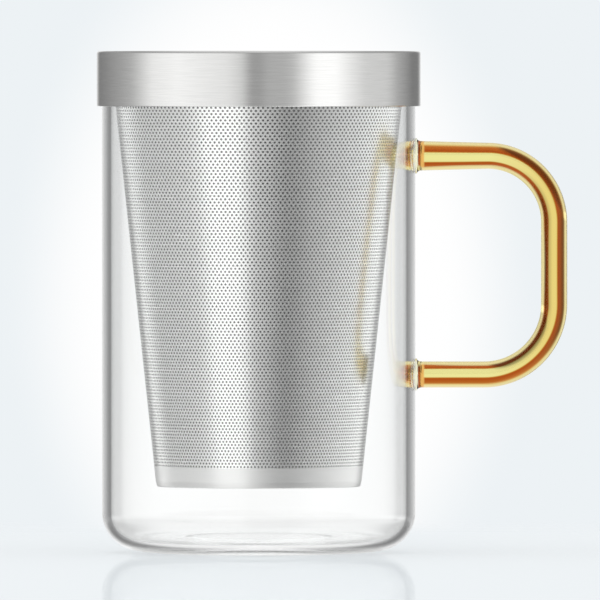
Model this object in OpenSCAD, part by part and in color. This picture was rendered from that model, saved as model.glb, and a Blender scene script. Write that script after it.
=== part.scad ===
/* [Cup] */
// Outside diameter of the glass
cup_od = 85; // [80:0.5:92]
// Height of the glass rim above the table
cup_h = 128; // [120:1:140]
// Thickness of the glass wall
cup_wall = 2.4; // [1.8:0.1:3]
// Thickness of the glass floor
cup_floor = 2.8; // [2.2:0.1:5]
// Radius of the heel, where the side turns under
heel_r = 12; // [8:0.5:15]
// Radius of the shallow sole between heel and foot
sole_r = 40; // [30:1:60]
// How far the flat foot lies inside the side wall
foot_inset = 16.5; // [15.5:0.5:20]
// Radius of the hollow under the foot
punt_r = 20; // [14:0.5:22]
// Depth of the hollow under the foot
punt_depth = 0.8; // [0.4:0.1:1.2]
// Rounding of the fire-polished rim
rim_round = 0.7; // [0.4:0.05:0.8]

/* [Handle] */
// Diameter of the glass rod
rod_d = 7.1; // [6:0.1:8]
// Diameter of the upper arm where it leaves its weld
root_d = 8; // [7:0.1:9.5]
// Distance from the glass rim down to the upper arm's centreline
upper_arm_drop = 20.4; // [16:0.1:28]
// Height of the lower arm's centreline
lower_arm_z = 48.3; // [40:0.5:56]
// Distance from the glass to the centreline of the upright bar
reach = 37.6; // [33:0.5:42]
// Centreline radius of the upper bend
upper_bend_r = 18; // [12:0.5:24]
// Centreline radius of the lower bend
lower_bend_r = 19; // [12:0.5:24]
// Length of each weld, from the glass to the rod
weld_len = 1.8; // [1.2:0.1:3]
// How far a weld spreads beyond the rod on each side
weld_flare = 0.8; // [0.4:0.1:1.5]
// Height of the weld's outer edge on the glass
weld_edge = 0.4; // [0.2:0.1:0.8]
// Slack between a weld's saddle and the glass
weld_gap = 0.02; // [0.01:0.01:0.1]

/* [Infuser] */
// Gap between the glass and the infuser at the rim
collar_gap = 0.6; // [0.4:0.1:1.5]
// Depth of the infuser below the glass rim
basket_depth = 110; // [90:1:112]
// Outside diameter of the infuser at its bottom
basket_base_d = 55.5; // [44:0.5:60]
// Sheet of the rim and the base ring
sheet = 0.5; // [0.4:0.05:0.8]
// Sheet of the perforated wall and floor
mesh_sheet = 0.4; // [0.3:0.05:0.5]
// How far the plain neck reaches below the glass rim
neck_h = 6; // [4:0.5:12]
// Height of the plain band at the bottom
base_band_h = 5.5; // [4:0.5:10]
// Bend radius under the flange
flange_bend_r = 0.8; // [0.5:0.1:1.2]
// How far the flange stays inside the outside of the glass
flange_inset = 0.3; // [0.1:0.1:0.8]
// Corner radius of the base ring
base_corner_r = 1.5; // [1:0.1:3]
// Width of the ledge that carries the floor
ledge_w = 3; // [2:0.5:6]
// Slack around the floor disc
floor_slack = 0.2; // [0.1:0.05:0.5]

/* [Perforation] */
// Holes around each row of the wall
hole_columns = 36; // [16:2:48]
// Rows of holes up the wall
hole_rows = 10; // [4:1:14]
// Width of one hole in the wall
hole_w = 2.2; // [1:0.1:3]
// Plain margin between the wall's edges and the end rows
row_margin = 4; // [2:0.5:8]
// Width of one hole in the floor
floor_hole_w = 1.6; // [1:0.1:2.4]
// Spacing of the holes in the floor
floor_pitch = 3.4; // [3:0.1:6]

/* [Lid] */
// Height of the cap
lid_h = 15; // [12:0.5:20]
// Sheet of the cap
lid_sheet = 0.6; // [0.4:0.05:0.9]
// Gap between the glass and the inside of the skirt
lid_gap = 0.8; // [0.5:0.1:2]
// Rounding of the cap's top edge
lid_edge_r = 1.1; // [0.9:0.1:2.5]
// Height of the plastic liner
liner_h = 6.3; // [5:0.1:8]
// Thickness of the liner's disc
liner_disc = 1.2; // [0.8:0.1:2]
// Thickness of the liner's inner lip beside the groove
liner_lip = 0.8; // [0.5:0.1:1.5]
// Slack between the liner and the cap's skirt
liner_slack = 0.1; // [0.05:0.05:0.3]
// Width of the silicone ring
seal_w = 2; // [1.5:0.1:2.4]
// How deep the ring sits in its groove
seal_seat = 2; // [1.2:0.1:2.6]
// How far the ring stands out of its groove
seal_proud = 0.6; // [0.4:0.1:1.2]
// Slack on each side of the ring in its groove
seal_slack = 0.1; // [0.05:0.05:0.2]
// How far the ring stays inside the edge of the infuser's flange
seal_inset = 0.2; // [0:0.1:0.6]
// Bevel of the ring's lower edges
seal_bevel = 0.3; // [0.1:0.05:0.5]

/* [Hidden] */
$fn = 96;
arc_steps = 10;

// Cup
cup_r = cup_od / 2;
cup_in_r = cup_r - cup_wall;
foot_r = cup_r - foot_inset;
heel_c_r = cup_r - heel_r;
heel_c_z = sole_r - sqrt(pow(sole_r - heel_r, 2) - pow(heel_c_r - foot_r, 2));
sole_end = atan2(heel_c_z - sole_r, heel_c_r - foot_r);
heel_in_r = heel_r - cup_wall;
punt_slope = 2;

// Handle
upper_arm_z = cup_h - upper_arm_drop;
bar_x = cup_r + reach;
arm_x = cup_r + weld_len;
upper_arm_len = bar_x - upper_bend_r - arm_x;
lower_arm_len = bar_x - lower_bend_r - arm_x;
bar_top = upper_arm_z - upper_bend_r;
bar_bottom = lower_arm_z + lower_bend_r;
weld_bite = 1;

// Infuser
basket_top_r = cup_in_r - collar_gap;
basket_z = cup_h - basket_depth;
taper = (basket_top_r - basket_base_d / 2) / basket_depth;
tilt = atan(taper);
function basket_r(z) = basket_top_r - (cup_h - z) * taper;
sheet_across = sheet / cos(tilt);
mesh_across = mesh_sheet / cos(tilt);
neck_z = cup_h - neck_h;
seam_z = basket_z + base_band_h;
flange_r = cup_r - flange_inset;
flange_z = cup_h + sheet;
bend_c_z = cup_h - flange_bend_r;
bend_c_r = basket_r(bend_c_z) + flange_bend_r / cos(tilt);
corner_c_z = basket_z + base_corner_r;
corner_c_r = basket_r(corner_c_z) - base_corner_r / cos(tilt);
ledge_r = corner_c_r - ledge_w;
floor_r = corner_c_r - floor_slack;
floor_z = basket_z + sheet;
row_step = (neck_z - seam_z - 2 * row_margin) / (hole_rows - 1);
hole_reach = 3;
floor_field_r = ledge_r - floor_hole_w;
floor_rows = floor(floor_field_r / (floor_pitch * sin(60)));
floor_cols = ceil(floor_field_r / floor_pitch) + 1;

// Lid
seal_z = flange_z;
liner_z = seal_z + seal_proud;
roof_z = liner_z + liner_h;
lid_z = roof_z + lid_sheet;
lid_in_r = cup_r + lid_gap;
lid_r = lid_in_r + lid_sheet;
liner_r = lid_in_r - liner_slack;
seal_out_r = flange_r - seal_inset;
seal_in_r = seal_out_r - seal_w;
groove_out_r = seal_out_r + seal_slack;
groove_in_r = seal_in_r - seal_slack;
groove_z = liner_z + seal_seat;
lip_r = groove_in_r - liner_lip;

function arc(r, z, radius, from, to) =
  [for (i = [0 : arc_steps])
    let (a = from + (to - from) * i / arc_steps)
    [r + radius * cos(a), z + radius * sin(a)]];

// Blown glass body with a rounded heel, a flat foot ring and a fire-polished rim
module glass_cup() {
  color([0.80, 0.90, 0.92, 0.45])
    rotate_extrude()
      polygon(concat(
        [[0, punt_depth], [punt_r - punt_slope, punt_depth], [punt_r, 0]],
        arc(foot_r, sole_r, sole_r, -90, sole_end),
        arc(heel_c_r, heel_c_z, heel_r, sole_end, 0),
        arc(cup_r - rim_round, cup_h - rim_round, rim_round, 0, 90),
        arc(cup_in_r + rim_round, cup_h - rim_round, rim_round, 90, 180),
        arc(heel_c_r, cup_floor + heel_in_r, heel_in_r, 0, -90),
        [[0, cup_floor]]));
}

// One quarter bend of the rod, from the bar to an arm, in the plane of the handle
module rod_bend(radius) {
  rotate_extrude(angle = 90)
    translate([radius, 0])
      circle(d = rod_d);
}

// Solid glass rod bent to a loop, swelling a little along its upper arm
module handle() {
  color([0.80, 0.55, 0.20])
    union() {
      translate([arm_x, 0, upper_arm_z])
        rotate([0, 90, 0])
          cylinder(d1 = root_d, d2 = rod_d, h = upper_arm_len);
      translate([bar_x - upper_bend_r, 0, bar_top])
        rotate([90, 0, 0])
          rod_bend(upper_bend_r);
      translate([bar_x, 0, bar_bottom])
        cylinder(d = rod_d, h = bar_top - bar_bottom);
      translate([bar_x - lower_bend_r, 0, bar_bottom])
        rotate([90, 0, 0])
          rotate([0, 0, -90])
            rod_bend(lower_bend_r);
      translate([arm_x, 0, lower_arm_z])
        rotate([0, 90, 0])
          cylinder(d = rod_d, h = lower_arm_len);
    }
}

// Fused foot of one arm: a concave flare, saddled on the round of the glass
module weld(z, arm_d) {
  difference() {
    translate([cup_r - weld_bite, 0, z])
      rotate([0, 90, 0])
        rotate_extrude()
          polygon(concat(
            [[0, 0], [arm_d / 2 + weld_flare, 0]],
            [for (i = [0 : arc_steps])
              let (a = 90 * i / arc_steps)
              [arm_d / 2 + weld_flare * (1 - sin(a)),
               weld_bite + weld_edge + (weld_len - weld_edge) * (1 - cos(a))]],
            [[0, weld_bite + weld_len]]));
    cylinder(r = cup_r + weld_gap, h = cup_h);
  }
}

module upper_weld() {
  color([0.72, 0.42, 0.14])
    weld(upper_arm_z, root_d);
}

module lower_weld() {
  color([0.72, 0.42, 0.14])
    weld(lower_arm_z, rod_d);
}

// Drawn steel ring that hangs the infuser on the glass rim
module infuser_rim() {
  color([0.78, 0.78, 0.76])
    rotate_extrude()
      polygon(concat(
        [[basket_r(neck_z) - sheet_across, neck_z], [basket_r(neck_z), neck_z]],
        arc(bend_c_r, bend_c_z, flange_bend_r, 180 - tilt, 90),
        arc(flange_r - sheet / 2, cup_h + sheet / 2, sheet / 2, -90, 90),
        arc(bend_c_r, bend_c_z, flange_bend_r + sheet, 90, 180 - tilt)));
}

// Diamond holes of one row, all pointing at the axis
module hole_row(z, shift) {
  for (j = [0 : hole_columns - 1])
    rotate([0, 0, (j + shift) * 360 / hole_columns])
      translate([basket_r(z) - hole_reach, 0, z])
        rotate([0, 90, 0])
          cylinder(d = hole_w, h = 2 * hole_reach, $fn = 4);
}

// Tapering sheet wall with staggered rows of holes
module infuser_wall() {
  color([0.70, 0.70, 0.68])
    difference() {
      rotate_extrude()
        polygon([
          [basket_r(seam_z) - mesh_across, seam_z],
          [basket_r(seam_z), seam_z],
          [basket_r(neck_z), neck_z],
          [basket_r(neck_z) - mesh_across, neck_z]]);
      for (i = [0 : hole_rows - 1])
        hole_row(seam_z + row_margin + i * row_step, (i % 2) / 2);
    }
}

// Drawn steel ring with a rounded corner and a ledge for the floor
module infuser_base() {
  color([0.78, 0.78, 0.76])
    rotate_extrude()
      polygon(concat(
        [[ledge_r, floor_z], [ledge_r, basket_z]],
        arc(corner_c_r, corner_c_z, base_corner_r, -90, -tilt),
        [[basket_r(seam_z), seam_z], [basket_r(seam_z) - sheet_across, seam_z]],
        arc(corner_c_r, corner_c_z, base_corner_r - sheet, -tilt, -90)));
}

// Perforated disc lying on the ledge of the base ring
module infuser_floor() {
  color([0.70, 0.70, 0.68])
    translate([0, 0, floor_z])
      linear_extrude(mesh_sheet)
        difference() {
          circle(r = floor_r);
          for (i = [-floor_rows : floor_rows])
            for (j = [-floor_cols : floor_cols]) {
              x = (j + (abs(i) % 2) / 2) * floor_pitch;
              y = i * floor_pitch * sin(60);
              if (norm([x, y]) < floor_field_r)
                translate([x, y])
                  circle(d = floor_hole_w, $fn = 6);
            }
        }
}

// Steel cap, open below, with a tight radius along its top edge
module lid_cap() {
  color([0.82, 0.82, 0.80])
    rotate_extrude()
      polygon(concat(
        [[lid_in_r, lid_z - lid_h], [lid_r, lid_z - lid_h]],
        arc(lid_r - lid_edge_r, lid_z - lid_edge_r, lid_edge_r, 0, 90),
        [[0, lid_z], [0, roof_z]],
        arc(lid_r - lid_edge_r, lid_z - lid_edge_r, lid_edge_r - lid_sheet, 90, 0)));
}

// Moulded liner pressed up into the cap, grooved below for the silicone ring
module lid_liner() {
  color([0.93, 0.93, 0.90])
    rotate_extrude()
      polygon([
        [0, roof_z - liner_disc],
        [lip_r, roof_z - liner_disc],
        [lip_r, liner_z],
        [groove_in_r, liner_z],
        [groove_in_r, groove_z],
        [groove_out_r, groove_z],
        [groove_out_r, liner_z],
        [liner_r, liner_z],
        [liner_r, roof_z - lid_edge_r],
        [liner_r - lid_edge_r, roof_z],
        [0, roof_z]]);
}

// Silicone ring that beds on the infuser's flange
module lid_seal() {
  color([0.88, 0.88, 0.86])
    rotate_extrude()
      polygon([
        [seal_in_r, groove_z],
        [seal_in_r, seal_z + seal_bevel],
        [seal_in_r + seal_bevel, seal_z],
        [seal_out_r - seal_bevel, seal_z],
        [seal_out_r, seal_z + seal_bevel],
        [seal_out_r, groove_z]]);
}

glass_cup();
handle();
upper_weld();
lower_weld();
infuser_rim();
infuser_wall();
infuser_base();
infuser_floor();
lid_cap();
lid_liner();
lid_seal();
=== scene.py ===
# %% [markdown]
# # A glass tea mug with a steel infuser
# The mug is a clear blown glass with a solid amber glass handle. A perforated steel infuser hangs
# in it by its flange, and a brushed steel cap covers both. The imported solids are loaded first, and
# every new piece is modelled in the same place, in metres, with z up and the handle towards +x.

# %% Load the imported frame
import math

import bpy
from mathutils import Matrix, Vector


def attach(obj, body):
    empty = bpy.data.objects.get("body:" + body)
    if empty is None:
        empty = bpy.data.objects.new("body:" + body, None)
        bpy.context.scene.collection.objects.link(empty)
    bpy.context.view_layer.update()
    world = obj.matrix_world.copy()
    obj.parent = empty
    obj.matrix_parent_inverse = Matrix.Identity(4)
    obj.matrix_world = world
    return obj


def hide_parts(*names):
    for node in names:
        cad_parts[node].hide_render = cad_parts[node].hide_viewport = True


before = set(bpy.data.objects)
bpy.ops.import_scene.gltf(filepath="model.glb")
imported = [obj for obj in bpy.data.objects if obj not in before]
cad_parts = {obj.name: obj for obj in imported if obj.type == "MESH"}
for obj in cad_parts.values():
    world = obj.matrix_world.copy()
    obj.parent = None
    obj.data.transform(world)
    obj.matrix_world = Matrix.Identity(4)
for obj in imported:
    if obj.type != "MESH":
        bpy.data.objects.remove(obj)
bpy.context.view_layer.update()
MM = 0.001

# %% [markdown]
# ## Camera
# The mug was photographed with a long lens from about the height of its lid: the lid's top is seen
# edge on, and the foot shows a narrow ellipse. A long lens far away keeps upright lines upright, so
# the camera stands 4.5 m away and its focal length follows from the width of the picture there.

# %% Place the camera
PICTURE_WIDTH = 162.66 * MM
CAMERA_DISTANCE = 4.5
CAMERA_HEIGHT = 135 * MM
AIM = Vector((11.2 * MM, 0, 68.5 * MM))
SENSOR = 36.0

camera_data = bpy.data.cameras.new("camera")
camera = bpy.data.objects.new("camera", camera_data)
bpy.context.scene.collection.objects.link(camera)
camera.location = (AIM.x, -CAMERA_DISTANCE, CAMERA_HEIGHT)
sight = AIM - camera.location
camera.rotation_euler = sight.to_track_quat("-Z", "Y").to_euler()
camera_data.sensor_width = SENSOR
camera_data.lens = SENSOR * sight.length / PICTURE_WIDTH
bpy.context.scene.camera = camera
bpy.context.scene.view_settings.view_transform = "Standard"
print("lens in mm:", round(camera_data.lens))

# %% [markdown]
# ## Light paths
# Light runs to and fro in thick glass many times before it leaves. Cycles gives a ray up after a number
# of bounces and counts it as black, which makes the edges and the heel of this glass a little darker. So
# the limits are raised.

# %% Let rays bounce for longer
cycles = bpy.context.scene.cycles
cycles.max_bounces = 32
cycles.glossy_bounces = 16
cycles.transmission_bounces = 32
print("bounces in glass:", cycles.transmission_bounces)

# %% [markdown]
# ## Helpers for nodes
# A shader is a tree of nodes. A few helpers keep the trees below short: they add a node, set its plain
# sockets and join it to what comes before it. The same could be clicked together in the Shader Editor.


# %% Node helpers
def add(tree, kind, settings=None, **sockets):
    """Add a node; settings are its properties, sockets its input values by name."""
    new = tree.nodes.new(kind)
    for name, value in (settings or {}).items():
        setattr(new, name, value)
    for name, value in sockets.items():
        new.inputs[name.replace("_", " ")].default_value = value
    return new


def math_node(tree, operation, first, second=None):
    """Add a Math node; each operand is a number or an output socket."""
    new = tree.nodes.new("ShaderNodeMath")
    new.operation = operation
    for slot, value in zip(new.inputs, (first, second)):
        if value is None:
            continue
        if isinstance(value, (int, float)):
            slot.default_value = value
        else:
            tree.links.new(value, slot)
    return new.outputs[0]


def vector_math(tree, operation, *operands):
    """Add a Vector Math node; each operand is a triple of numbers or an output socket."""
    new = add(tree, "ShaderNodeVectorMath", {"operation": operation})
    for slot, value in zip(new.inputs, operands):
        if isinstance(value, tuple):
            slot.default_value = value
        else:
            tree.links.new(value, slot)
    return new.outputs["Value" if operation in ("LENGTH", "DOT_PRODUCT") else "Vector"]


def ramp(tree, source, stops):
    """Add a colour ramp; stops are (position, grey) or (position, (r, g, b)) pairs."""
    new = tree.nodes.new("ShaderNodeValToRGB")
    elements = new.color_ramp.elements
    while len(elements) < len(stops):
        elements.new(0.5)
    for element, (position, tone) in zip(elements, stops):
        element.position = position
        grey = (tone, tone, tone) if isinstance(tone, (int, float)) else tone
        element.color = (*grey, 1)
    tree.links.new(source, new.inputs["Fac"])
    return new.outputs["Color"]


def mixed(tree, factor, first, second):
    """Mix two colours by a factor."""
    new = tree.nodes.new("ShaderNodeMix")
    new.data_type = "RGBA"
    for slot, value in zip((0, 6, 7), (factor, first, second)):
        if isinstance(value, tuple):
            new.inputs[slot].default_value = value
        else:
            tree.links.new(value, new.inputs[slot])
    return new.outputs[2]


def eased(tree, source, start, end, kind="LINEAR"):
    """0 at the start value of a source, 1 at its end value."""
    new = add(tree, "ShaderNodeMapRange", {"interpolation_type": kind}, From_Min=start, From_Max=end)
    tree.links.new(source, new.inputs["Value"])
    return new.outputs[0]


print("node helpers are ready")

# %% [markdown]
# ## Studio
# Glass and polished metal have hardly any look of their own: they show what stands around them. The
# studio is a white tent with softboxes in front and darker gaps behind to the left and right, which
# draw the dark edges of the glass and of the lid. A photographer hangs white cloth and black card; here
# the tent is painted in the world by direction. Its tones are lists of azimuth and brightness: azimuth
# 0 is towards the camera, positive to its right, in degrees. The first list is what the lid mirrors.

# %% Tones that the lid mirrors
PALE = (0.847, 0.888, 0.913, 1)
WHITE = (1, 1, 1, 1)
TENT_PEAK = 1.7
TENT = [
    (-180, 1.00), (-172, 0.88), (-165, 0.52), (-158, 0.23), (-140, 0.30), (-115, 0.44),
    (-103, 0.55), (-97, 0.68), (-90, 0.86), (-82, 1.08), (-60, 1.22), (-22, 1.02), (-12, 0.82),
    (-5, 0.40), (1, 0.42), (7, 0.53), (19, 0.55), (25, 0.64), (30, 0.86), (36, 1.14), (42, 1.36),
    (57, 1.36), (68, 1.10), (82, 0.82), (105, 0.76), (118, 0.50), (142, 0.24), (158, 0.23),
    (165, 0.48), (172, 0.84), (180, 1.00),
]
ROOF = [(0.35, 0.40), (0.68, 0.45), (0.90, 0.85)]
ROOF_FROM = 0.16
ROOF_FULL = 0.40
print("tones that the lid mirrors:", len(TENT))

# %% [markdown]
# The other lists are what is seen through the glass, and mirrored by the infuser inside it: one for
# level rays, one for rays that go down a little, one for those that go down further. The last goes by
# nearness to the line of sight behind the mug, and draws the round heel with the same dark edge as the
# upright wall. A zone begins at its FROM value and is complete at its FULL value: LOW, UNDER, TABLE and
# ROOF by the height of the direction, BACK by its nearness to the line of sight, ASIDE by how far it
# goes to the side. The border of UNDER leans, so that it lies higher behind the mug than in front.

# %% Tones that show through the glass
BEHIND_GLASS = [
    (-180, 1.01), (-174, 0.97), (-169, 0.79), (-164, 0.63), (-159, 0.46), (-154, 0.29),
    (-147, 0.21), (-143, 0.45), (-138, 0.90), (-101, 1.15), (-85, 1.15), (-40, 0.95), (0, 0.90),
    (40, 0.90), (85, 1.05), (138, 0.90), (143, 0.50), (147, 0.26), (154, 0.34), (159, 0.48),
    (164, 0.63), (169, 0.79), (174, 0.97), (180, 1.01),
]
LOW_BEHIND_GLASS = [
    (-180, 0.93), (-168, 0.82), (-158, 0.46), (-147, 0.27), (-142, 1.09), (-134, 1.38), (-126, 1.30),
    (-111, 0.71), (-88, 0.69), (-78, 0.73), (-60, 0.92), (-51, 1.12), (-45, 1.52), (-36, 1.66),
    (-12, 1.53), (-9, 0.87), (1, 0.70), (9, 0.55), (16, 0.40), (24, 0.29), (31, 0.29), (40, 0.40),
    (55, 0.56), (72, 0.76), (90, 0.96), (116, 1.48), (134, 1.66), (142, 1.20), (147, 0.34),
    (158, 0.54), (168, 0.86), (180, 0.93),
]
UNDER_GLASS = [
    (-140, 0.90), (-111, 0.48), (-60, 0.66), (-45, 1.15), (-21, 1.15), (-13, 1.05), (-6, 0.60),
    (24, 0.17), (40, 0.25), (72, 0.52), (90, 0.70), (140, 0.90),
]
ROUND_ABOUT_BACK = [
    (0.75, 0.90), (0.80, 0.62), (0.84, 0.32), (0.90, 0.21), (0.935, 0.23), (0.96, 0.33), (0.98, 0.54),
    (0.995, 0.85),
]
BACK_FROM = 0.64
BACK_FULL = 0.74
ASIDE_FROM = 0.04
ASIDE_FULL = 0.10
LOW_FULL = -0.050
LOW_FROM = -0.026
UNDER_LEAN = 0.083
UNDER_FULL = -0.18
UNDER_FROM = -0.15
TABLE = 0.95
TABLE_FULL = -0.72
TABLE_FROM = -0.62
GLASS_ROOF = [(0.16, 0.92), (0.58, 0.95)]
print("tones that show through the glass:", len(BEHIND_GLASS), len(LOW_BEHIND_GLASS), len(UNDER_GLASS))

# %% [markdown]
# The world's Generated coordinate is the direction of a ray. Its x and y give the azimuth, its z the
# height, and Light Path tells rays that passed through glass from rays that a surface mirrored. Colour
# ramps hold values up to 1, so all tones are divided by the brightest and multiplied at the end.


# %% Paint the tent
def tones(source, stops):
    """Brightness by a value between 0 and 1."""
    return ramp(tree, source, [(at, tone / TENT_PEAK) for at, tone in stops])


def round_about(stops):
    """Brightness by azimuth in degrees."""
    return tones(turn, [(angle / 360 + 0.5, tone) for angle, tone in stops])


world = bpy.data.worlds.new("tent")
bpy.context.scene.world = world
world.use_nodes = True
tree = world.node_tree
tree.nodes.clear()
parts = add(tree, "ShaderNodeSeparateXYZ")
tree.links.new(add(tree, "ShaderNodeTexCoord").outputs["Generated"], parts.inputs[0])
x, y, z = (parts.outputs[axis] for axis in "XYZ")
azimuth = math_node(tree, "ARCTAN2", x, math_node(tree, "MULTIPLY", y, -1.0))
turn = math_node(tree, "ADD", math_node(tree, "DIVIDE", azimuth, 2 * math.pi), 0.5)
path = add(tree, "ShaderNodeLightPath")
through = path.outputs["Is Transmission Ray"]
table = tuple(TABLE / TENT_PEAK * c for c in WHITE)
aside = math_node(tree, "ABSOLUTE", x)
back = mixed(tree, eased(tree, aside, ASIDE_FROM, ASIDE_FULL), table, tones(y, ROUND_ABOUT_BACK))
under = mixed(tree, eased(tree, y, BACK_FROM, BACK_FULL), round_about(UNDER_GLASS), back)
under = mixed(tree, eased(tree, z, TABLE_FULL, TABLE_FROM), table, under)
leaned = math_node(tree, "SUBTRACT", z, math_node(tree, "MULTIPLY", y, UNDER_LEAN))
low = mixed(tree, eased(tree, leaned, UNDER_FULL, UNDER_FROM), under, round_about(LOW_BEHIND_GLASS))
level = mixed(tree, eased(tree, z, LOW_FULL, LOW_FROM), low, round_about(BEHIND_GLASS))
walls = mixed(tree, through, round_about(TENT), level)
roof = mixed(tree, through, tones(z, ROOF), tones(z, GLASS_ROOF))
tent = mixed(tree, eased(tree, z, ROOF_FROM, ROOF_FULL), walls, roof)
shiny = add(tree, "ShaderNodeBackground", Strength=TENT_PEAK)
tree.links.new(tent, shiny.inputs["Color"])
print("nodes in the tent:", len(tree.nodes))

# %% [markdown]
# The backdrop that the camera sees is a very pale blue paper with a white glow behind the mug. It is
# drawn by direction as well: the glow is an oval round the line of sight. Matt surfaces get an even
# white light, so that the floor keeps a soft shadow.

# %% The backdrop and the even light
GLOW_AT = (-0.0018, -0.0150)
GLOW_ASIDE = 0.0135
GLOW_UP = 0.0208
GLOW_DOWN = 0.0181
GLOW_FROM = 0.75
GLOW_TO = 1.22
MATT_LIGHT = 0.70

across = math_node(tree, "SUBTRACT", math_node(tree, "DIVIDE", x, y), GLOW_AT[0])
upward = math_node(tree, "SUBTRACT", math_node(tree, "DIVIDE", z, y), GLOW_AT[1])
above, below = (math_node(tree, "DIVIDE", upward, size) for size in (GLOW_UP, -GLOW_DOWN))
shares = [math_node(tree, "DIVIDE", across, GLOW_ASIDE), math_node(tree, "MAXIMUM", above, below)]
squares = [math_node(tree, "MULTIPLY", share, share) for share in shares]
oval = math_node(tree, "SQRT", math_node(tree, "ADD", *squares))
paper = mixed(tree, eased(tree, oval, GLOW_FROM, GLOW_TO, "SMOOTHSTEP"), WHITE, PALE)
plain = add(tree, "ShaderNodeBackground", Strength=1.0)
tree.links.new(paper, plain.inputs["Color"])
matt = add(tree, "ShaderNodeBackground", Color=WHITE, Strength=MATT_LIGHT)
sees_tent = math_node(tree, "MAXIMUM", path.outputs["Is Glossy Ray"], path.outputs["Is Transmission Ray"])
lit = add(tree, "ShaderNodeMixShader")
tree.links.new(sees_tent, lit.inputs[0])
tree.links.new(matt.outputs[0], lit.inputs[1])
tree.links.new(shiny.outputs[0], lit.inputs[2])
seen = add(tree, "ShaderNodeMixShader")
tree.links.new(path.outputs["Is Camera Ray"], seen.inputs[0])
tree.links.new(lit.outputs[0], seen.inputs[1])
tree.links.new(plain.outputs[0], seen.inputs[2])
out = add(tree, "ShaderNodeOutputWorld")
tree.links.new(seen.outputs[0], out.inputs["Surface"])
print("backdrop glow half width in degrees:", round(math.degrees(GLOW_ASIDE), 2))

# %% [markdown]
# ## Lamp and floor
# One large lamp overhead gives the soft contact shadow. It is hidden from mirrors and glass, which see
# the tent alone.

# %% Hang the lamp
LAMP_POWER = 7.0
LAMP_SIZE = 1.6
LAMP_PLACE = Vector((-0.1, -0.15, 1.3))

lamp_data = bpy.data.lights.new("overhead", "AREA")
lamp_data.shape = "DISK"
lamp_data.size = LAMP_SIZE
lamp_data.energy = LAMP_POWER
lamp = bpy.data.objects.new("overhead", lamp_data)
bpy.context.scene.collection.objects.link(lamp)
lamp.location = LAMP_PLACE
lamp.rotation_euler = (-LAMP_PLACE).to_track_quat("-Z", "Y").to_euler()
lamp.visible_camera = False
lamp.visible_glossy = False
lamp.visible_transmission = False
print("lamp in watts:", lamp_data.energy)

# %% [markdown]
# The floor is a plain disc, far larger than the mug, whose foot stands on it at z = 0.

# %% Lay the floor
FLOOR_RADIUS = 1.0
FLOOR_SIDES = 96

bpy.ops.object.select_all(action="DESELECT")
bpy.ops.mesh.primitive_circle_add(vertices=FLOOR_SIDES, radius=FLOOR_RADIUS, fill_type="NGON")
floor = bpy.context.object
floor.name = "floor"
print("floor radius in mm:", FLOOR_RADIUS / MM)

# %% [markdown]
# Its paint is pale, with a little light of its own and a faint, slightly blurred mirror over it. It fades
# out before the edge of the disc, so that no horizon shows. Seen through the glass, only the patch under
# the mug stays, with a stronger painted glow that stands in for the light that gathers under a glass.

# %% Paint the floor
FADE_AT = (0, 0.3, 0)
FADE_FROM = 0.43
FADE_TO = 0.62
BOUNCE_FROM = 0.026
BOUNCE_TO = 0.036
FLOOR_GLOW = 0.70
FLOOR_CHALK = (0.240, 0.258, 0.268, 1)
FLOOR_MIRROR = 0.2
FLOOR_GLOSS_ROUGHNESS = 0.03
PAINTED_GLOW_BELOW = 1.12

floor_paint = bpy.data.materials.new("floor_paint")
floor_paint.use_nodes = True
tree = floor_paint.node_tree
tree.nodes.clear()
where = add(tree, "ShaderNodeTexCoord").outputs["Object"]
ray = add(tree, "ShaderNodeLightPath")


def reach_from(tree, where, shift):
    """Distance from a point on the floor."""
    return vector_math(tree, "LENGTH", vector_math(tree, "ADD", where, shift))


seen_fade = eased(tree, reach_from(tree, where, FADE_AT), FADE_FROM, FADE_TO, "SMOOTHSTEP")
bounce_fade = eased(tree, reach_from(tree, where, (0, 0, 0)), BOUNCE_FROM, BOUNCE_TO, "SMOOTHSTEP")
mirrored = math_node(tree, "GREATER_THAN", ray.outputs["Is Glossy Ray"], ray.outputs["Is Transmission Ray"])
hidden = math_node(tree, "MAXIMUM", bounce_fade, mirrored)
gone = add(tree, "ShaderNodeMix", {"data_type": "FLOAT"})
tree.links.new(ray.outputs["Is Camera Ray"], gone.inputs["Factor"])
tree.links.new(hidden, gone.inputs["A"])
tree.links.new(seen_fade, gone.inputs["B"])
chalk = add(tree, "ShaderNodeBsdfDiffuse", Color=FLOOR_CHALK)
glow = add(tree, "ShaderNodeEmission")
tree.links.new(mixed(tree, ray.outputs["Is Transmission Ray"], PALE, WHITE), glow.inputs["Color"])
# Through the glass the patch under the mug glows white and stronger: a painted pool of light.
brighter = math_node(tree, "MULTIPLY", ray.outputs["Is Transmission Ray"], PAINTED_GLOW_BELOW - FLOOR_GLOW)
tree.links.new(math_node(tree, "ADD", brighter, FLOOR_GLOW), glow.inputs["Strength"])
board = add(tree, "ShaderNodeAddShader")
tree.links.new(chalk.outputs[0], board.inputs[0])
tree.links.new(glow.outputs[0], board.inputs[1])
shine = add(tree, "ShaderNodeBsdfGlossy", Color=WHITE, Roughness=FLOOR_GLOSS_ROUGHNESS)
surface = add(tree, "ShaderNodeMixShader", Fac=FLOOR_MIRROR)
tree.links.new(board.outputs[0], surface.inputs[1])
tree.links.new(shine.outputs[0], surface.inputs[2])
faded = add(tree, "ShaderNodeMixShader")
tree.links.new(gone.outputs[0], faded.inputs[0])
tree.links.new(surface.outputs[0], faded.inputs[1])
tree.links.new(add(tree, "ShaderNodeBsdfTransparent").outputs[0], faded.inputs[2])
out = add(tree, "ShaderNodeOutputMaterial")
tree.links.new(faded.outputs[0], out.inputs["Surface"])
floor.data.materials.append(floor_paint)
print("nodes in the floor's paint:", len(tree.nodes))

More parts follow.
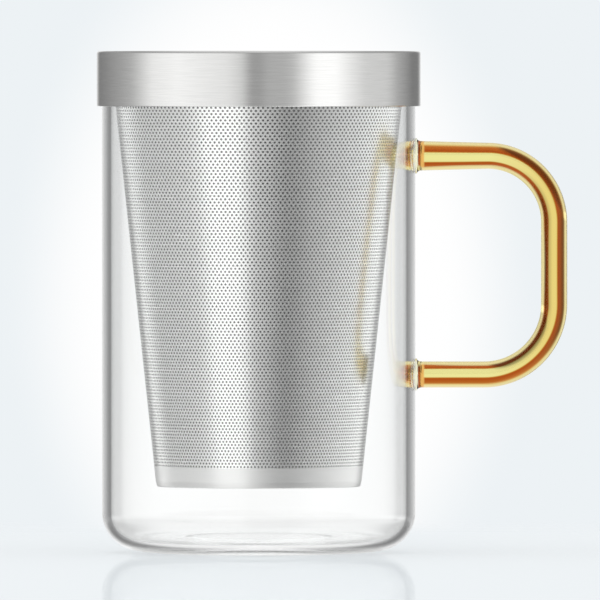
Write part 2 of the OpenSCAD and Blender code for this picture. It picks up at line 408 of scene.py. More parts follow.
# %% [markdown]
# ## Helpers for turned pieces
# Most pieces of the mug are turned or blown on one axis. On the lathe of the modelling tools, a single
# point is drawn out along half of the cross-section, and Spin carries that line once round the axis.
# Round stretches of the outline come from a formula, so they stay round at any number of steps.

# %% Lathe helpers
TURN_STEPS = 192
WELD_DISTANCE = 0.0002 * MM
NEAR = 0.01 * MM
LONG_RUN = 2.0
HOLD = 0.15


def only(piece):
    """Make one object the only selected one."""
    bpy.ops.object.select_all(action="DESELECT")
    piece.select_set(True)
    bpy.context.view_layer.objects.active = piece


def pick(piece, test):
    """Select the vertices whose place passes a test, and enter edit mode with them."""
    only(piece)
    bpy.ops.object.mode_set(mode="EDIT")
    bpy.ops.mesh.select_mode(type="VERT")
    bpy.ops.mesh.select_all(action="DESELECT")
    bpy.ops.object.mode_set(mode="OBJECT")
    for v in piece.data.vertices:
        v.select = test(v.co)
    bpy.ops.object.mode_set(mode="EDIT")


def arc(radius_at, height_at, radius, start, end, steps=12):
    """Points of an arc in the (radius, height) plane, from one angle to another in degrees."""
    points = []
    for i in range(steps + 1):
        angle = math.radians(start + (end - start) * i / steps)
        points.append((radius_at + radius * math.cos(angle), height_at + radius * math.sin(angle)))
    return points


def start_point(name, place):
    """A new mesh with a single vertex, left in edit mode with that vertex selected."""
    bpy.ops.object.select_all(action="DESELECT")
    bpy.ops.mesh.primitive_plane_add(size=MM)
    piece = bpy.context.object
    piece.name = name
    piece.data.name = name
    bpy.ops.object.mode_set(mode="EDIT")
    bpy.ops.mesh.select_all(action="SELECT")
    bpy.ops.mesh.merge(type="CENTER")
    bpy.ops.transform.translate(value=place)
    return piece


def close_up():
    """Merge what coincides and turn the faces outwards, in edit mode; then leave it."""
    bpy.ops.mesh.select_all(action="SELECT")
    bpy.ops.mesh.remove_doubles(threshold=WELD_DISTANCE)
    bpy.ops.mesh.normals_make_consistent(inside=False)
    bpy.ops.object.mode_set(mode="OBJECT")


def held(outline):
    """Add points close to the ends of long straight runs, so that smooth shading stays flat along them."""
    points = outline[:1]
    for (r0, z0), (r1, z1) in zip(outline, outline[1:]):
        run = math.hypot(r1 - r0, z1 - z0)
        if run > LONG_RUN:
            for share in (HOLD / run, 1 - HOLD / run):
                points.append((r0 + (r1 - r0) * share, z0 + (z1 - z0) * share))
        points.append((r1, z1))
    return points


def lathe(name, outline, smooth_angle=35):
    """Spin an outline of (radius, height) points, in mm, once round the z axis."""
    outline = held(outline)
    first = outline[0]
    piece = start_point(name, (first[0] * MM, 0, first[1] * MM))
    for (r0, z0), (r1, z1) in zip(outline, outline[1:]):
        step = ((r1 - r0) * MM, 0, (z1 - z0) * MM)
        bpy.ops.mesh.extrude_region_move(TRANSFORM_OT_translate={"value": step})
    bpy.ops.mesh.select_all(action="SELECT")
    bpy.ops.mesh.spin(steps=TURN_STEPS, angle=2 * math.pi, center=(0, 0, 0), axis=(0, 0, 1))
    close_up()
    only(piece)
    bpy.ops.object.shade_smooth_by_angle(angle=math.radians(smooth_angle))
    return piece


def ring(name, outline, smooth_angle=35):
    """Spin a closed outline that stays clear of the axis."""
    return lathe(name, outline + outline[:1], smooth_angle)


def tell(piece):
    """Print what a piece measures."""
    size = [round(v / MM, 1) for v in piece.dimensions]
    print(piece.name, "faces:", len(piece.data.polygons), "size in mm:", size)


print("lathe helpers are ready, steps in a turn:", TURN_STEPS)

# %% [markdown]
# ## Finishes
# Glass is a Principled shader with full transmission. It carries the faint ripple that blowing leaves.
# Its tint goes by how far the skin turns away from the eye (Layer Weight). A rod of tinted glass looks
# banded, because it bends the light and dark of the tent differently at each angle, and this banding of
# light and shade is painted into the tint.


# %% A shader for glass
RIPPLE_SCALE = 45.0
RIPPLE_STRENGTH = 0.02
RIPPLE_HEIGHT = 0.2 * MM
INNER_FROM = -0.66
INNER_FULL = -0.80


def new_material(name):
    """An empty material with an output node."""
    material = bpy.data.materials.new(name)
    material.use_nodes = True
    tree = material.node_tree
    tree.nodes.clear()
    return material, tree, add(tree, "ShaderNodeOutputMaterial")


def ripple(tree, where, scale, strength, distance):
    """A soft bump from noise, for surfaces that were formed hot."""
    noise = add(tree, "ShaderNodeTexNoise", Scale=scale, Detail=1.0)
    tree.links.new(where, noise.inputs["Vector"])
    bump = add(tree, "ShaderNodeBump", Strength=strength, Distance=distance)
    tree.links.new(noise.outputs["Fac"], bump.inputs["Height"])
    return bump.outputs["Normal"]


def make_glass(name, ior, tints, gloss=WHITE, lean=0.0, lean_from=(0, 0, 0), along_x=(), roughness=0.0):
    """Polished glass, tinted from its face (0) to its edge (1).

    The lean shifts these tints away from a point. Other tints may take over along x, each given as
    the x where it starts to do so, the x where it has done so, its stops, and what drives them.
    """
    material, tree, out = new_material(name)
    where = add(tree, "ShaderNodeTexCoord").outputs["Object"]
    side = add(tree, "ShaderNodeNewGeometry")
    away = vector_math(tree, "SUBTRACT", where, lean_from)
    away = vector_math(tree, "NORMALIZE", vector_math(tree, "MULTIPLY", away, (1, 0, 1)))
    leaning = vector_math(tree, "MULTIPLY_ADD", away, (lean, lean, lean), side.outputs["Normal"])
    edge = add(tree, "ShaderNodeLayerWeight", Blend=0.5)
    tree.links.new(vector_math(tree, "NORMALIZE", leaning), edge.inputs["Normal"])
    skin = ramp(tree, edge.outputs["Facing"], tints)
    part = add(tree, "ShaderNodeSeparateXYZ")
    tree.links.new(where, part.inputs[0])
    for start, end, stops, driver in along_x:
        source = edge.outputs["Facing"]
        if driver:
            source = eased(tree, part.outputs["X"], *driver)
        skin = mixed(tree, eased(tree, part.outputs["X"], start, end), skin, ramp(tree, source, stops))
    # Faces that turn towards the point take the tint before the last, whatever their facing; on the amber
    # rod that is the painted reflection of the gold rim.
    outwards = vector_math(tree, "DOT_PRODUCT", side.outputs["Normal"], away)
    inner = eased(tree, outwards, INNER_FROM, INNER_FULL)
    skin = mixed(tree, inner, skin, (*tints[-2][1], 1))
    glass = add(tree, "ShaderNodeBsdfPrincipled", Roughness=roughness, IOR=ior, Transmission_Weight=1.0,
                Specular_Tint=gloss)
    tree.links.new(mixed(tree, side.outputs["Backfacing"], skin, WHITE), glass.inputs["Base Color"])
    normal = ripple(tree, where, RIPPLE_SCALE, RIPPLE_STRENGTH, RIPPLE_HEIGHT)
    tree.links.new(normal, glass.inputs["Normal"])
    tree.links.new(glass.outputs[0], out.inputs["Surface"])
    return material, tree, out


print("the glass shader is ready")

# %% [markdown]
# The mug's glass is nearly colourless, and polished by the flame. Its underside, which stood in the
# mould, is duller, so it shows the table softly and lets light out of the glass floor.

# %% Clear glass
GLASS_IOR = 1.5
CLEAR_TINTS = [(0.0, (0.99, 0.998, 0.995)), (0.9, (0.95, 0.97, 0.97))]
FOOT_ROUGHNESS = 0.18
clear_glass = make_glass("blown_glass", GLASS_IOR, CLEAR_TINTS)[0]
foot_glass = make_glass("pressed_glass", GLASS_IOR, CLEAR_TINTS, roughness=FOOT_ROUGHNESS)[0]
print("clear finishes:", clear_glass.name, foot_glass.name)

# %% [markdown]
# The handle is the same glass melted with an amber tint, pale in the middle of the rod. The brown on both
# sides of it is painted shade, and the gold at the rim is a painted reflection. The bands lean outwards on
# the loop. Near the glass the brown ends in a honey ring and a colourless foot, and the upright bar is
# deeper than the arms. A faint absorption in the volume adds depth.

# %% Amber glass
COLOURLESS = (1.0, 1.0, 1.0)
PALE_AMBER = (0.76, 0.68, 0.165)
BAR_AMBER = (0.71, 0.46, 0.065)
HONEY = (0.75, 0.24, 0.025)
# DEEP_AMBER is painted shade: the darkest brown of the rod's bands, and of the ring at its ends, where
# thicker glass adds to it.
DEEP_AMBER = (0.22, 0.0098, 0.0001)


def banded(middle):
    """Tints of the rod from its face to its edge: a middle, a band of painted shade that deepens inwards, a
    gold rim of painted reflection.
    """
    return [
        (0.0, middle), (0.040, middle), (0.060, (0.36, 0.070, 0.0006)), (0.085, (0.18, 0.0040, 0.0001)),
        (0.15, DEEP_AMBER), (0.27, (0.27, 0.020, 0.0003)), (0.34, (0.40, 0.092, 0.006)),
        (0.40, (0.65, 0.36, 0.065)), (0.50, (0.78, 0.60, 0.19)), (0.80, (0.82, 0.60, 0.26)),
    ]


# Along x near the glass the rod is colourless at its foot, then a deep ring of painted shade, partly its
# thicker glass, then honey.
ROOT_TINTS = [(0.20, COLOURLESS), (0.30, DEEP_AMBER), (0.46, DEEP_AMBER), (0.56, HONEY)]
ROD_ALONG_X = [
    (0.062, 0.078, banded(BAR_AMBER), None),
    (0.0450, 0.0446, ROOT_TINTS, (0.0425, 0.0450)),
]
AMBER_GLOSS = (1.0, 0.5, 0.25, 1)
AMBER_LEAN = 0.12
LOOP_CENTRE = (0.058, 0, 0.078)
AMBER = (0.985, 0.94, 0.45, 1)
AMBER_DENSITY = 60.0
amber_glass, tree, out = make_glass("amber_rod", GLASS_IOR, banded(PALE_AMBER), AMBER_GLOSS, AMBER_LEAN,
                                    LOOP_CENTRE, ROD_ALONG_X)
tinted = add(tree, "ShaderNodeVolumeAbsorption", Color=AMBER, Density=AMBER_DENSITY)
tree.links.new(tinted.outputs[0], out.inputs["Volume"])
print("amber finish:", amber_glass.name)

# %% [markdown]
# Brushed steel is scored with fine lines that run round the piece. Across the lines the metal scatters
# light widely, along them hardly at all, so bright and dark stand on it as upright bands. The lines are
# noise stretched round the axis: slow along x and y, quick along height and radius. The infuser's sheet has
# fainter lines. Its inside is painted greyer, as painted shade inside the infuser, and the shallow rims and
# flanks of its etched holes are painted dark, as painted shade in the holes.


# %% Brushed steel
LINES_AROUND = 130.0
LINES_ACROSS = 4200.0
LINE_DEPTH = 0.02 * MM
ROUGHNESS_SPREAD = 0.05


def brushed_lines(tree, around, across):
    """Noise in fine lines that run round the z axis, on upright and on level faces alike."""
    where = add(tree, "ShaderNodeTexCoord").outputs["Object"]
    part = add(tree, "ShaderNodeSeparateXYZ")
    tree.links.new(where, part.inputs[0])
    x, y, z = (part.outputs[axis] for axis in "XYZ")
    squares = math_node(tree, "ADD", math_node(tree, "MULTIPLY", x, x), math_node(tree, "MULTIPLY", y, y))
    out_and_up = math_node(tree, "ADD", math_node(tree, "SQRT", squares), z)
    place = add(tree, "ShaderNodeCombineXYZ")
    tree.links.new(math_node(tree, "MULTIPLY", x, around), place.inputs["X"])
    tree.links.new(math_node(tree, "MULTIPLY", y, around), place.inputs["Y"])
    tree.links.new(math_node(tree, "MULTIPLY", out_and_up, across), place.inputs["Z"])
    noise = add(tree, "ShaderNodeTexNoise", Scale=1.0, Detail=3.0, Roughness=0.6)
    tree.links.new(place.outputs[0], noise.inputs["Vector"])
    return noise.outputs["Fac"]


def make_steel(name, dark, light, roughness, spread, lines_deep):
    """Steel brushed round the z axis."""
    material, tree, out = new_material(name)
    steel = add(tree, "ShaderNodeBsdfPrincipled", Metallic=1.0, Anisotropic=spread,
                Anisotropic_Rotation=0.25)
    lines = brushed_lines(tree, LINES_AROUND, LINES_ACROSS)
    tree.links.new(ramp(tree, lines, [(0.3, dark), (0.7, light)]), steel.inputs["Base Color"])
    rough = add(tree, "ShaderNodeMapRange", To_Min=roughness - ROUGHNESS_SPREAD,
                To_Max=roughness + ROUGHNESS_SPREAD)
    tree.links.new(lines, rough.inputs["Value"])
    tree.links.new(rough.outputs[0], steel.inputs["Roughness"])
    bump = add(tree, "ShaderNodeBump", Strength=lines_deep, Distance=LINE_DEPTH)
    tree.links.new(lines, bump.inputs["Height"])
    tree.links.new(bump.outputs["Normal"], steel.inputs["Normal"])
    tangent = add(tree, "ShaderNodeTangent", {"direction_type": "RADIAL", "axis": "Z"})
    tree.links.new(tangent.outputs[0], steel.inputs["Tangent"])
    tree.links.new(steel.outputs[0], out.inputs["Surface"])
    return material


lid_steel = make_steel("brushed_steel", (0.72, 0.72, 0.71), (0.79, 0.79, 0.78), 0.19, 0.8, 0.10)
infuser_steel = make_steel("drawn_steel", (0.89, 0.89, 0.88), (0.93, 0.93, 0.92), 0.38, 0.3, 0.01)
infuser_mesh = make_steel("rolled_steel", (0.85, 0.85, 0.84), (0.91, 0.91, 0.90), 0.26, 0.3, 0.04)
# The rims and flanks of the holes are painted near black: painted shade in the holes.
hole_shade_steel = make_steel("hole_shade_steel", (0.13, 0.13, 0.13), (0.17, 0.17, 0.17), 0.24, 0.0, 0.0)
# The inside of the sheet is painted greyer than its outside: painted shade inside the infuser.
inside_shade_steel = make_steel("inside_shade_steel", (0.76, 0.76, 0.75), (0.84, 0.84, 0.83), 0.30, 0.3, 0.04)
print("steel finishes:", lid_steel.name, infuser_steel.name, infuser_mesh.name, inside_shade_steel.name)

# %% [markdown]
# The liner is moulded in white plastic with a fine grained skin, and the ring under it is milky
# silicone, a little translucent.


# %% Plastic and silicone
CLOUD_SCALE = 60.0
CLOUD_SHADE = 0.94
GRAIN_STRENGTH = 0.15
GRAIN_DEPTH = 0.03 * MM
MILKY_DEPTH = 1.5 * MM


def make_moulded(name, colour, roughness, grain, translucence):
    """Moulded plastic or silicone with a fine grain."""
    material, tree, out = new_material(name)
    where = add(tree, "ShaderNodeTexCoord").outputs["Object"]
    body = add(tree, "ShaderNodeBsdfPrincipled", Roughness=roughness,
               Subsurface_Weight=translucence, Subsurface_Scale=MILKY_DEPTH)
    cloud = add(tree, "ShaderNodeTexNoise", Scale=CLOUD_SCALE, Detail=2.0)
    tree.links.new(where, cloud.inputs["Vector"])
    darker = tuple(CLOUD_SHADE * c for c in colour)
    mottled = ramp(tree, cloud.outputs["Fac"], [(0.3, darker), (0.7, colour)])
    tree.links.new(mottled, body.inputs["Base Color"])
    normal = ripple(tree, where, grain, GRAIN_STRENGTH, GRAIN_DEPTH)
    tree.links.new(normal, body.inputs["Normal"])
    tree.links.new(body.outputs[0], out.inputs["Surface"])
    return material


liner_plastic = make_moulded("white_plastic", (0.86, 0.86, 0.83), 0.45, 2500.0, 0.0)
seal_silicone = make_moulded("milky_silicone", (0.84, 0.84, 0.82), 0.38, 1800.0, 0.3)
print("moulded finishes:", liner_plastic.name, seal_silicone.name)

# %% [markdown]
# ## The glass
# The glass is one blown body. Its outline goes up the outside from the hollow under the foot, over a
# shallow sole and the round heel to the rim, and down again inside. Both skins are modelled, because
# the dark lines at the edges of a glass come from light that is bent between them.

# %% Blow the cup
CUP_R = 42.5
CUP_H = 128.0
CUP_WALL = 2.4
CUP_FLOOR = 2.8
HEEL_R = 10.5
SOLE_R = 40.0
FOOT_R = 26.0
PUNT_R = 20.0
PUNT_DEPTH = 0.8
PUNT_SLOPE = 2.0
RIM_ROUND = 0.7
DULL_BELOW = 1.0

cup_in_r = CUP_R - CUP_WALL
heel_at = CUP_R - HEEL_R
heel_up = SOLE_R - math.sqrt((SOLE_R - HEEL_R) ** 2 - (heel_at - FOOT_R) ** 2)
sole_end = math.degrees(math.atan2(heel_up - SOLE_R, heel_at - FOOT_R))
heel_in_r = HEEL_R - CUP_WALL
cup_outline = (
    [(0, PUNT_DEPTH), (PUNT_R - PUNT_SLOPE, PUNT_DEPTH), (PUNT_R, 0)]
    + arc(FOOT_R, SOLE_R, SOLE_R, -90, sole_end, 6)
    + arc(heel_at, heel_up, HEEL_R, sole_end, 0, 24)[1:]
    + arc(CUP_R - RIM_ROUND, CUP_H - RIM_ROUND, RIM_ROUND, 0, 90, 8)
    + arc(cup_in_r + RIM_ROUND, CUP_H - RIM_ROUND, RIM_ROUND, 90, 180, 8)
    + arc(heel_at, CUP_FLOOR + heel_in_r, heel_in_r, 0, -90, 24)
    + [(0, CUP_FLOOR)]
)
cup = lathe("cup_glass", cup_outline, smooth_angle=50)
cup.data.materials.append(clear_glass)
cup.data.materials.append(foot_glass)
for face in cup.data.polygons:
    face.material_index = int(face.center.z < DULL_BELOW * MM)
tell(cup)

# %% [markdown]
# ## The handle
# The handle is one solid rod, melted onto the glass at both ends. A ring of points is drawn out from
# the upper foot: it narrows in a concave flare, runs along the arm, turns down by a quarter Spin, runs
# down the bar, turns in again and ends in the lower flare. The two ends are saddled on the glass.

# %% Sizes of the rod, and its helpers
ROD_R = 3.55
ROOT_R = 4.0
ARM_X = 44.3
BAR_X = 80.1
UPPER_Z = 107.6
LOWER_Z = 48.3
UPPER_BEND = 18.0
LOWER_BEND = 19.0
FLARE = 0.8
FLARE_EDGE = 0.4
FLARE_STEPS = 8
ROD_SIDES = 64
ARM_STEPS = 6
BEND_STEPS = 28
SADDLE_GAP = 0.02
STRAIGHT_SHARES = (0.02, 0.96, 0.02)


def extrude_ring(step, scale=1.0, centre=None):
    """Draw the selected ring on by a step, in mm, and scale it there about its centre."""
    shift = [v * MM for v in step]
    bpy.ops.mesh.extrude_region_move(TRANSFORM_OT_translate={"value": shift})
    if centre is not None:
        bpy.ops.transform.resize(value=(scale, scale, scale), center_override=[v * MM for v in centre])


def flare_radii(root):
    """Distances from the glass and radii of a concave flare, from the glass to the rod."""
    length = ARM_X - CUP_R - FLARE_EDGE
    pairs = [(0.0, root + FLARE), (FLARE_EDGE, root + FLARE)]
    for i in range(1, FLARE_STEPS + 1):
        angle = math.radians(90 * i / FLARE_STEPS)
        pairs.append((FLARE_EDGE + length * (1 - math.cos(angle)), root + FLARE * (1 - math.sin(angle))))
    return pairs


print("finger gap in mm:", round(BAR_X - ROD_R - CUP_R, 1), "by", round(UPPER_Z - LOWER_Z - 2 * ROD_R, 1))

# %% [markdown]
# The helpers draw on the ring that is selected. Scaling goes about the ring's own centre, because the
# pivot would otherwise lie at the middle of all that is selected. The upper arm also swells a little
# towards the glass, in a few steps.

# %% Draw the rod
upper = flare_radii(ROOT_R)
lower = flare_radii(ROD_R)
bpy.ops.object.select_all(action="DESELECT")
bpy.ops.mesh.primitive_circle_add(
    vertices=ROD_SIDES, radius=upper[0][1] * MM, fill_type="NOTHING",
    location=(CUP_R * MM, 0, UPPER_Z * MM), rotation=(0, math.pi / 2, 0))
rod = bpy.context.object
rod.name = "handle_rod"
rod.data.name = "handle_rod"
bpy.ops.object.transform_apply(location=True, rotation=True, scale=True)
bpy.ops.object.mode_set(mode="EDIT")
bpy.ops.mesh.select_all(action="SELECT")
for (d0, r0), (d1, r1) in zip(upper, upper[1:]):
    extrude_ring((d1 - d0, 0, 0), r1 / r0, (CUP_R + d1, 0, UPPER_Z))
arm_run = BAR_X - UPPER_BEND - ARM_X
for i in range(ARM_STEPS):
    before = ROOT_R + (ROD_R - ROOT_R) * i / ARM_STEPS
    after = ROOT_R + (ROD_R - ROOT_R) * (i + 1) / ARM_STEPS
    place = (ARM_X + arm_run * (i + 1) / ARM_STEPS, 0, UPPER_Z)
    extrude_ring((arm_run / ARM_STEPS, 0, 0), after / before, place)
bend_centre = ((BAR_X - UPPER_BEND) * MM, 0, (UPPER_Z - UPPER_BEND) * MM)
bpy.ops.mesh.spin(steps=BEND_STEPS, angle=math.pi / 2, center=bend_centre, axis=(0, -1, 0))
bar_run = (LOWER_Z + LOWER_BEND) - (UPPER_Z - UPPER_BEND)
for share in STRAIGHT_SHARES:
    extrude_ring((0, 0, bar_run * share))
bend_centre = ((BAR_X - LOWER_BEND) * MM, 0, (LOWER_Z + LOWER_BEND) * MM)
bpy.ops.mesh.spin(steps=BEND_STEPS, angle=math.pi / 2, center=bend_centre, axis=(0, -1, 0))
for share in STRAIGHT_SHARES:
    extrude_ring(((ARM_X - (BAR_X - LOWER_BEND)) * share, 0, 0))
for (d1, r1), (d0, r0) in zip(lower[::-1], lower[-2::-1]):
    extrude_ring((d0 - d1, 0, 0), r0 / r1, (CUP_R + d0, 0, LOWER_Z))
bpy.ops.object.mode_set(mode="OBJECT")
tell(rod)

# %% [markdown]
# The two open ends are closed with a few shrinking rings, and every point of them is pushed along x
# until it lies on the round of the glass, a hair outside it.

# %% Saddle the ends on the glass
SADDLE_RINGS = (0.7, 0.35)
END_REACH = 6.0
ROD_SMOOTH = 50
saddle_r = CUP_R + SADDLE_GAP
for height in (UPPER_Z, LOWER_Z):
    pick(rod, lambda at: abs(at.x - CUP_R * MM) < NEAR and abs(at.z - height * MM) < END_REACH * MM)
    size = 1.0
    for share in SADDLE_RINGS:
        extrude_ring((0, 0, 0), share / size, (CUP_R, 0, height))
        size = share
    bpy.ops.mesh.extrude_region_move(TRANSFORM_OT_translate={"value": (0, 0, 0)})
    bpy.ops.mesh.merge(type="CENTER")
    bpy.ops.object.mode_set(mode="OBJECT")
for v in rod.data.vertices:
    if abs(v.co.x - CUP_R * MM) < NEAR:
        v.co.x = math.sqrt((saddle_r * MM) ** 2 - v.co.y ** 2)
only(rod)
bpy.ops.object.mode_set(mode="EDIT")
close_up()
bpy.ops.object.shade_smooth_by_angle(angle=math.radians(ROD_SMOOTH))
rod.data.materials.append(amber_glass)
tell(rod)

# %% [markdown]
# ## The infuser's plain rings
# Two drawn rings hold the thin perforated wall: the rim, whose flange lies on the glass, and the base
# band, which is crimped inwards at its lower edge and turned under as a ledge for the floor. Both
# follow the same slant as the wall.

# %% Rim and base band
COLLAR_GAP = 0.6
BASKET_TOP_R = cup_in_r - COLLAR_GAP
BASKET_BASE_R = 27.75
BASKET_DEPTH = 110.0
SHEET = 0.5
MESH_SHEET = 0.4
NECK_H = 6.0
BAND_H = 5.5
FLANGE_BEND = 0.8
FLANGE_INSET = 0.3
FLANGE_R = CUP_R - FLANGE_INSET
CORNER_R = 1.5
CRIMP_H = 1.6
CRIMP_IN = 0.32
CRIMP_EDGE = 0.35
LEDGE_W = 3.0

basket_z = CUP_H - BASKET_DEPTH
taper = (BASKET_TOP_R - BASKET_BASE_R) / BASKET_DEPTH
tilt = math.degrees(math.atan(taper))
slant = math.cos(math.atan(taper))
neck_z = CUP_H - NECK_H
seam_z = basket_z + BAND_H


def basket_r(z):
    """Outside radius of the infuser's slanting wall at a height, in mm."""
    return BASKET_TOP_R - (CUP_H - z) * taper


bend_up = CUP_H - FLANGE_BEND
bend_at = basket_r(bend_up) + FLANGE_BEND / slant
rim = ring("infuser_rim_ring", (
    [(basket_r(neck_z) - SHEET / slant, neck_z), (basket_r(neck_z), neck_z)]
    + arc(bend_at, bend_up, FLANGE_BEND, 180 - tilt, 90, 8)
    + arc(FLANGE_R - SHEET / 2, CUP_H + SHEET / 2, SHEET / 2, -90, 90, 8)
    + arc(bend_at, bend_up, FLANGE_BEND + SHEET, 90, 180 - tilt, 10)))
corner_at = basket_r(basket_z + CORNER_R) - CORNER_R / slant
ledge_r = corner_at - LEDGE_W
crimp_z = basket_z + CRIMP_H
crimp_r = basket_r(crimp_z) - CRIMP_IN
crimp_tilt = math.degrees(math.atan(CRIMP_IN / (CRIMP_H - CRIMP_EDGE)))
band = ring("infuser_base_band", (
    [(ledge_r, basket_z + SHEET), (ledge_r, basket_z)]
    + arc(crimp_r - CRIMP_EDGE, basket_z + CRIMP_EDGE, CRIMP_EDGE, -90, -crimp_tilt, 6)
    + [(basket_r(crimp_z), crimp_z), (basket_r(seam_z), seam_z)]
    + [(basket_r(seam_z) - SHEET / slant, seam_z), (basket_r(crimp_z) - SHEET / slant, crimp_z)]
    + [(crimp_r - SHEET, basket_z + SHEET)]))
for piece in (rim, band):
    piece.data.materials.append(infuser_steel)
    tell(piece)

# %% [markdown]
# ## The perforated wall
# The wall is thin sheet with fine etched holes in staggered rows, the same number in every row, so they
# stand closer together towards the narrow end. Etching leaves each hole wide outside and narrow inside. The
# shallow ring round each hole and its flanks are painted dark, as painted shade in the hole. One tile is
# modelled: a six-sided funnel in a small brick of sheet. Array modifiers lay the bricks in rows and columns
# like masonry, each second row shifted by half a brick. The flat sheet is rolled into its cone and welded
# along its seam. It is made in several bands, because each has tens of thousands of faces.

# %% Etch one tile of the wall
TILE_SIDES = 6
COLUMNS = 192
ROWS_IN_BAND = (20, 20, 20, 20, 18, 18)
HOLE_R = 0.30
RECESS = 0.006
THROAT_R = 0.17
HOLE_IN_R = 0.07
rows = sum(ROWS_IN_BAND)
row_step = (neck_z - seam_z) / rows
brick = 2 * math.pi * basket_r((neck_z + seam_z) / 2) / COLUMNS


def fit_brick(tile, radius):
    """Stretch the selected six-sided ring to the outline of a brick, and leave edit mode."""
    widen = brick / 2 / (radius * math.cos(math.pi / TILE_SIDES))
    heighten = row_step / 2 / (radius * math.sin(math.pi / TILE_SIDES))
    bpy.ops.transform.resize(value=(widen, 1, heighten), center_override=(0, 0, 0))
    bpy.ops.object.mode_set(mode="OBJECT")
    for v in tile.data.vertices:
        v.co.z = max(-row_step / 2 * MM, min(row_step / 2 * MM, v.co.z))


def etched_tile(name):
    """One brick of sheet in the xz plane, its outside at y = 0, with a six-sided funnel through it."""
    bpy.ops.object.select_all(action="DESELECT")
    bpy.ops.mesh.primitive_circle_add(
        vertices=TILE_SIDES, radius=HOLE_R * MM, fill_type="NOTHING", rotation=(math.pi / 2, 0, 0))
    tile = bpy.context.object
    tile.name = name
    tile.data.name = name
    bpy.ops.object.transform_apply(location=True, rotation=True, scale=True)
    bpy.ops.object.mode_set(mode="EDIT")
    bpy.ops.mesh.select_all(action="SELECT")
    bpy.ops.mesh.extrude_region_move(TRANSFORM_OT_translate={"value": (0, 0, 0)})
    fit_brick(tile, HOLE_R)
    pick(tile, lambda at: math.hypot(at.x, at.z) < HOLE_R * MM + NEAR)
    before, depth = HOLE_R, 0.0
    for radius, deeper in ((THROAT_R, RECESS), (HOLE_IN_R, MESH_SHEET)):
        inwards = {"value": (0, (deeper - depth) * MM, 0)}
        bpy.ops.mesh.extrude_region_move(TRANSFORM_OT_translate=inwards)
        narrow = radius / before
        bpy.ops.transform.resize(value=(narrow, 1, narrow), center_override=(0, 0, 0))
        before, depth = radius, deeper
    bpy.ops.mesh.extrude_region_move(TRANSFORM_OT_translate={"value": (0, 0, 0)})
    fit_brick(tile, HOLE_IN_R)
    # The hole's rim and flanks take the dark steel, painted shade, and the inside faces the greyer steel,
    # painted shade too.
    for finish in (infuser_mesh, hole_shade_steel, inside_shade_steel):
        tile.data.materials.append(finish)
    for face in tile.data.polygons:
        depths = [tile.data.vertices[i].co.y for i in face.vertices]
        in_hole = max(depths) > RECESS / 2 * MM
        inside = min(depths) > (MESH_SHEET - RECESS) * MM
        face.material_index = in_hole + inside
    return tile


print("holes in the wall:", COLUMNS * rows)

# %% [markdown]
# The tiles are laid with Array, and every point is then carried onto the cone: its way along the sheet
# becomes an angle, and its depth in the sheet is taken off the radius. The ends of a band are closed
# by bridging the outer and the inner edge.


# %% Lay, roll and close the bands
SEAM_REACH = 0.02 * MM
SHEET_SMOOTH = 2


def array(piece, count, shift):
    """Repeat a mesh along a step, in mm, and merge the copies where they meet."""
    copies = piece.modifiers.new("array", "ARRAY")
    copies.count = count
    copies.use_relative_offset = False
    copies.use_constant_offset = True
    copies.constant_offset_displace = [v * MM for v in shift]
    copies.use_merge_vertices = True
    copies.merge_threshold = NEAR
    only(piece)
    bpy.ops.object.modifier_apply(modifier=copies.name)


def roll(piece, foot):
    """Bend the flat sheet round the axis onto the infuser's cone, its first row of holes at a height."""
    for v in piece.data.vertices:
        z = foot + v.co.z / MM
        angle = 2 * math.pi * v.co.x / (brick * COLUMNS * MM)
        radius = basket_r(z) * MM - v.co.y / slant
        v.co = (radius * math.cos(angle), radius * math.sin(angle), z * MM)


def close_band(piece, low, high):
    """Weld the seam, bridge the open ends at two heights, and turn the faces outwards."""
    only(piece)
    bpy.ops.object.mode_set(mode="EDIT")
    bpy.ops.mesh.select_all(action="SELECT")
    bpy.ops.mesh.remove_doubles(threshold=SEAM_REACH)
    bpy.ops.object.mode_set(mode="OBJECT")
    for end in (low, high):
        pick(piece, lambda at: abs(at.z - end * MM) < NEAR)
        bpy.ops.mesh.bridge_edge_loops()
        bpy.ops.object.mode_set(mode="OBJECT")
    bpy.ops.object.mode_set(mode="EDIT")
    close_up()
    bpy.ops.object.shade_smooth_by_angle(angle=math.radians(SHEET_SMOOTH))


wall_bands = []
foot = seam_z
for number, band_rows in enumerate(ROWS_IN_BAND, 1):
    sheet = etched_tile(f"infuser_wall_band_{number}")
    array(sheet, 2, (brick / 2, 0, row_step))
    array(sheet, band_rows // 2, (0, 0, 2 * row_step))
    array(sheet, COLUMNS, (brick, 0, 0))
    roll(sheet, foot + row_step / 2)
    close_band(sheet, foot, foot + band_rows * row_step)
    wall_bands.append(sheet)
    foot += band_rows * row_step
    tell(sheet)

# %% [markdown]
# ## The lid
# The cap is drawn from one sheet: a flat roof, a tight radius and a straight skirt. The liner is a
# moulded tray pressed up into it, with a groove below for the silicone ring that beds on the infuser.

# %% Cap, liner and ring
LID_SHEET = 0.6
LID_GAP = 0.8
LID_H = 15.0
LID_EDGE = 0.7
LINER_H = 6.3
LINER_DISC = 1.2
LINER_LIP = 0.8
LINER_SLACK = 0.1
SEAL_W = 2.0
SEAL_SEAT = 2.0
SEAL_PROUD = 0.6
SEAL_INSET = 0.2
SEAL_BEVEL = 0.3
GROOVE_SLACK = 0.1

LID_IN_R = CUP_R + LID_GAP
LID_R = LID_IN_R + LID_SHEET
SEAL_Z = CUP_H + SHEET
LINER_Z = SEAL_Z + SEAL_PROUD
ROOF_Z = LINER_Z + LINER_H
LID_Z = ROOF_Z + LID_SHEET
LINER_R = LID_IN_R - LINER_SLACK
SEAL_OUT = FLANGE_R - SEAL_INSET
SEAL_IN = SEAL_OUT - SEAL_W
GROOVE_Z = LINER_Z + SEAL_SEAT
LIP_R = SEAL_IN - GROOVE_SLACK - LINER_LIP

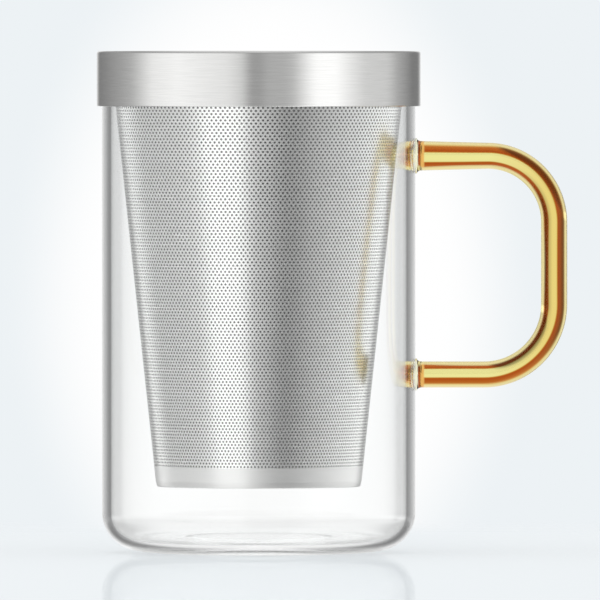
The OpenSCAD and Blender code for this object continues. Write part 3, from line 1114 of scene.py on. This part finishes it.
edge_at = LID_R - LID_EDGE
edge_up = LID_Z - LID_EDGE
skirt_z = LID_Z - LID_H
hem = LID_SHEET / 2
cap = lathe("lid_cap_shell", (
    [(0, ROOF_Z)]
    + arc(edge_at, edge_up, LID_EDGE - LID_SHEET, 90, 0, 6)
    + arc(LID_R - hem, skirt_z + hem, hem, 180, 360, 8)
    + arc(edge_at, edge_up, LID_EDGE, 0, 90, 10)
    + [(0, LID_Z)]))
cap.data.materials.append(lid_steel)
liner = lathe("lid_liner_tray", [
    (0, ROOF_Z - LINER_DISC), (LIP_R, ROOF_Z - LINER_DISC), (LIP_R, LINER_Z),
    (SEAL_IN - GROOVE_SLACK, LINER_Z), (SEAL_IN - GROOVE_SLACK, GROOVE_Z),
    (SEAL_OUT + GROOVE_SLACK, GROOVE_Z), (SEAL_OUT + GROOVE_SLACK, LINER_Z),
    (LINER_R, LINER_Z), (LINER_R, ROOF_Z - LID_EDGE), (LINER_R - LID_EDGE, ROOF_Z), (0, ROOF_Z)])
liner.data.materials.append(liner_plastic)
seal = ring("lid_seal_ring", [
    (SEAL_IN, GROOVE_Z), (SEAL_IN, SEAL_Z + SEAL_BEVEL), (SEAL_IN + SEAL_BEVEL, SEAL_Z),
    (SEAL_OUT - SEAL_BEVEL, SEAL_Z), (SEAL_OUT, SEAL_Z + SEAL_BEVEL), (SEAL_OUT, GROOVE_Z)])
seal.data.materials.append(seal_silicone)
for piece in (cap, liner, seal):
    tell(piece)

# %% [markdown]
# ## Bodies
# Each piece rides on the body that carries it, stands for the solid whose place it takes, and names
# the finish that it uses. The perforated floor keeps its imported solid, with the steel finish.

# %% Ride and replace
RIDES = [
    (cup, "cup", ["glass_cup"], "clear_glass"),
    (rod, "cup", ["handle", "upper_weld", "lower_weld"], "amber_glass"),
    (rim, "infuser", ["infuser_rim"], "infuser_steel"),
    (band, "infuser", ["infuser_base"], "infuser_steel"),
    (cap, "lid", ["lid_cap"], "lid_steel"),
    (liner, "lid", ["lid_liner"], "liner_plastic"),
    (seal, "lid", ["lid_seal"], "seal_silicone"),
]
for piece, body, nodes, slot in RIDES:
    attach(piece, body)
    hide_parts(*nodes)
for piece in wall_bands:
    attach(piece, "infuser")
    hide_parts("infuser_wall")
floor_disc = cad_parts["infuser_floor"]
for slot in floor_disc.material_slots:
    slot.material = infuser_steel
print("pieces:", len(RIDES) + len(wall_bands), "on bodies:", sorted({body for _, body, _, _ in RIDES}))
